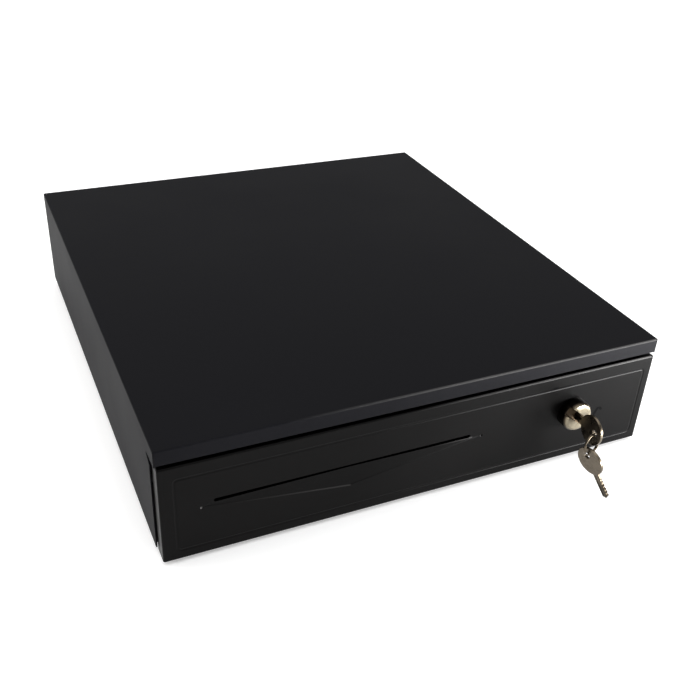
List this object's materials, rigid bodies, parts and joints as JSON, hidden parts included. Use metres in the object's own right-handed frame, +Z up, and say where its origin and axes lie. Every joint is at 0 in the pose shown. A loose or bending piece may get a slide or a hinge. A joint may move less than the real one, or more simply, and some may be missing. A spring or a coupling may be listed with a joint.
{
  "type": "cash drawer",
  "caption": "Flat black steel cash drawer with a lipped cover, a slotted sliding drawer, a key lock with keys, and a note and coin till inside.",
  "frame": {"origin": "on the bench under the middle of the whole object, keys included", "axes": "+X to the right seen from the drawer's front, +Y from the front to the back, +Z up"},
  "size_m": [0.41, 0.5052, 0.101],
  "materials": {
    "cover_paint": "black powder coat, satin, fine texture",
    "pan_paint": "black powder coat, satin",
    "front_paint": "black powder coat, satin, fine texture",
    "zinc_steel": "zinc plated",
    "screw_steel": "zinc plated",
    "ball_steel": "polished",
    "foot_rubber": "matte black",
    "lock_nickel": "warm nickel, fine turned",
    "key_nickel": "warm nickel",
    "till_plastic": "moulded, fine texture",
    "coin_plastic": "moulded, fine texture",
    "clip_plastic": "moulded",
    "spring_steel": "bright wire",
    "coil_tape": "amber tape over copper winding",
    "socket_plastic": "moulded",
    "contact_gold": "gold flashed",
    "lead_sleeve": "black sleeve",
    "latch_steel": "hardened, phosphated"
  },
  "bodies": {
    "casing": {"top_cover": "cover_paint", "base_pan": "pan_paint", "cover_screws": "screw_steel", "rear_screws": "screw_steel", "rubber_feet": "foot_rubber", "foot_screws": "screw_steel", "outer_slide_right": "zinc_steel", "outer_slide_left": "zinc_steel", "outer_slide_rivets": "screw_steel", "rubber_buffers": "foot_rubber", "signal_socket": "socket_plastic", "socket_contacts": "contact_gold", "wiring_harness": "lead_sleeve", "latch_bracket": "zinc_steel", "bracket_screws": "screw_steel", "solenoid_frame": "zinc_steel", "solenoid_coil": "coil_tape", "plunger_spring": "spring_steel", "latch_pivot": "latch_steel", "ejector_housing": "socket_plastic", "ejector_plunger": "socket_plastic", "ejector_spring": "spring_steel", "micro_switch": "socket_plastic", "switch_lever": "spring_steel", "switch_bracket": "zinc_steel"},
    "drawer": {"drawer_front": "front_paint", "drawer_box": "pan_paint", "front_screws": "screw_steel", "inner_slide_right": "zinc_steel", "inner_slide_left": "zinc_steel", "inner_slide_rivets": "screw_steel", "strike_plate": "latch_steel", "strike_rivets": "screw_steel", "media_guide": "pan_paint", "till_rests": "zinc_steel", "till_tray": "till_plastic", "bill_dividers": "till_plastic", "coin_tray": "coin_plastic", "coin_dividers": "coin_plastic", "clip_axle": "latch_steel", "clip_springs": "spring_steel", "lock_body": "lock_nickel", "lock_nut": "screw_steel"},
    "ball_carrier_right": {"ball_cage_right": "zinc_steel", "slide_balls_right": "ball_steel"},
    "ball_carrier_left": {"ball_cage_left": "zinc_steel", "slide_balls_left": "ball_steel"},
    "lock_core": {"lock_plug": "lock_nickel", "lock_cam": "latch_steel", "cam_screw": "screw_steel"},
    "key": {"lock_key": "key_nickel"},
    "ring": {"key_ring": "key_nickel"},
    "second_key": {"spare_key": "key_nickel"},
    "plunger": {"solenoid_plunger": "latch_steel"},
    "latch": {"latch_lever": "latch_steel"},
    "clip_1": {"bill_clip_1": "clip_plastic"},
    "clip_2": {"bill_clip_2": "clip_plastic"},
    "clip_3": {"bill_clip_3": "clip_plastic"},
    "clip_4": {"bill_clip_4": "clip_plastic"},
    "clip_5": {"bill_clip_5": "clip_plastic"}
  },
  "joints": [
    {"name": "drawer_slide", "type": "slide", "parent": "casing", "child": "drawer", "axis": [0, -1, 0], "range_m": [0, 0.32]},
    {"name": "right_balls_travel", "type": "slide", "parent": "casing", "child": "ball_carrier_right", "axis": [0, -1, 0], "range_m": [0, 0.16]},
    {"name": "left_balls_travel", "type": "slide", "parent": "casing", "child": "ball_carrier_left", "axis": [0, -1, 0], "range_m": [0, 0.16]},
    {"name": "plunger_travel", "type": "slide", "parent": "casing", "child": "plunger", "axis": [1, 0, 0], "range_m": [0, 0.00278], "stiffness_N_per_m": 300},
    {"name": "latch_turn", "type": "hinge", "parent": "casing", "child": "latch", "pos_m": [0.02, 0.21576, 0.038], "axis": [0, 0, 1], "range_deg": [-10.05, 0]},
    {"name": "lock_turn", "type": "hinge", "parent": "drawer", "child": "lock_core", "pos_m": [0.1309, -0.19624, 0.0486], "axis": [0, -1, 0], "range_deg": [-45, 90]},
    {"name": "key_withdraw", "type": "slide", "parent": "lock_core", "child": "key", "axis": [0, -1, 0], "range_m": [0, 0.03]},
    {"name": "ring_swing", "type": "hinge", "parent": "key", "child": "ring", "pos_m": [0.1309, -0.22804, 0.0486], "axis": [1, 0, 0], "range_deg": [-50, 0]},
    {"name": "second_key_swing", "type": "hinge", "parent": "ring", "child": "second_key", "pos_m": [0.1253, -0.23074, 0.0312], "axis": [0.9639, 0.1698, 0.2051], "range_deg": [-30, 0]},
    {"name": "clip_1_lift", "type": "hinge", "parent": "drawer", "child": "clip_1", "pos_m": [-0.14784, 0.13076, 0.074], "axis": [-1, 0, 0], "range_deg": [0, 35], "stiffness_Nm_per_rad": 0.1, "springref_deg": -28.65},
    {"name": "clip_2_lift", "type": "hinge", "parent": "drawer", "child": "clip_2", "pos_m": [-0.07392, 0.13076, 0.074], "axis": [-1, 0, 0], "range_deg": [0, 35], "stiffness_Nm_per_rad": 0.1, "springref_deg": -28.65},
    {"name": "clip_3_lift", "type": "hinge", "parent": "drawer", "child": "clip_3", "pos_m": [0, 0.13076, 0.074], "axis": [-1, 0, 0], "range_deg": [0, 35], "stiffness_Nm_per_rad": 0.1, "springref_deg": -28.65},
    {"name": "clip_4_lift", "type": "hinge", "parent": "drawer", "child": "clip_4", "pos_m": [0.07392, 0.13076, 0.074], "axis": [-1, 0, 0], "range_deg": [0, 35], "stiffness_Nm_per_rad": 0.1, "springref_deg": -28.65},
    {"name": "clip_5_lift", "type": "hinge", "parent": "drawer", "child": "clip_5", "pos_m": [0.14784, 0.13076, 0.074], "axis": [-1, 0, 0], "range_deg": [0, 35], "stiffness_Nm_per_rad": 0.1, "springref_deg": -28.65}
  ],
  "couplings": [
    {"joint": "right_balls_travel", "follows": "drawer_slide", "ratio": 0.5},
    {"joint": "left_balls_travel", "follows": "drawer_slide", "ratio": 0.5},
    {"joint": "latch_turn", "follows": "plunger_travel", "rad_per_m": -62.78}
  ]
}
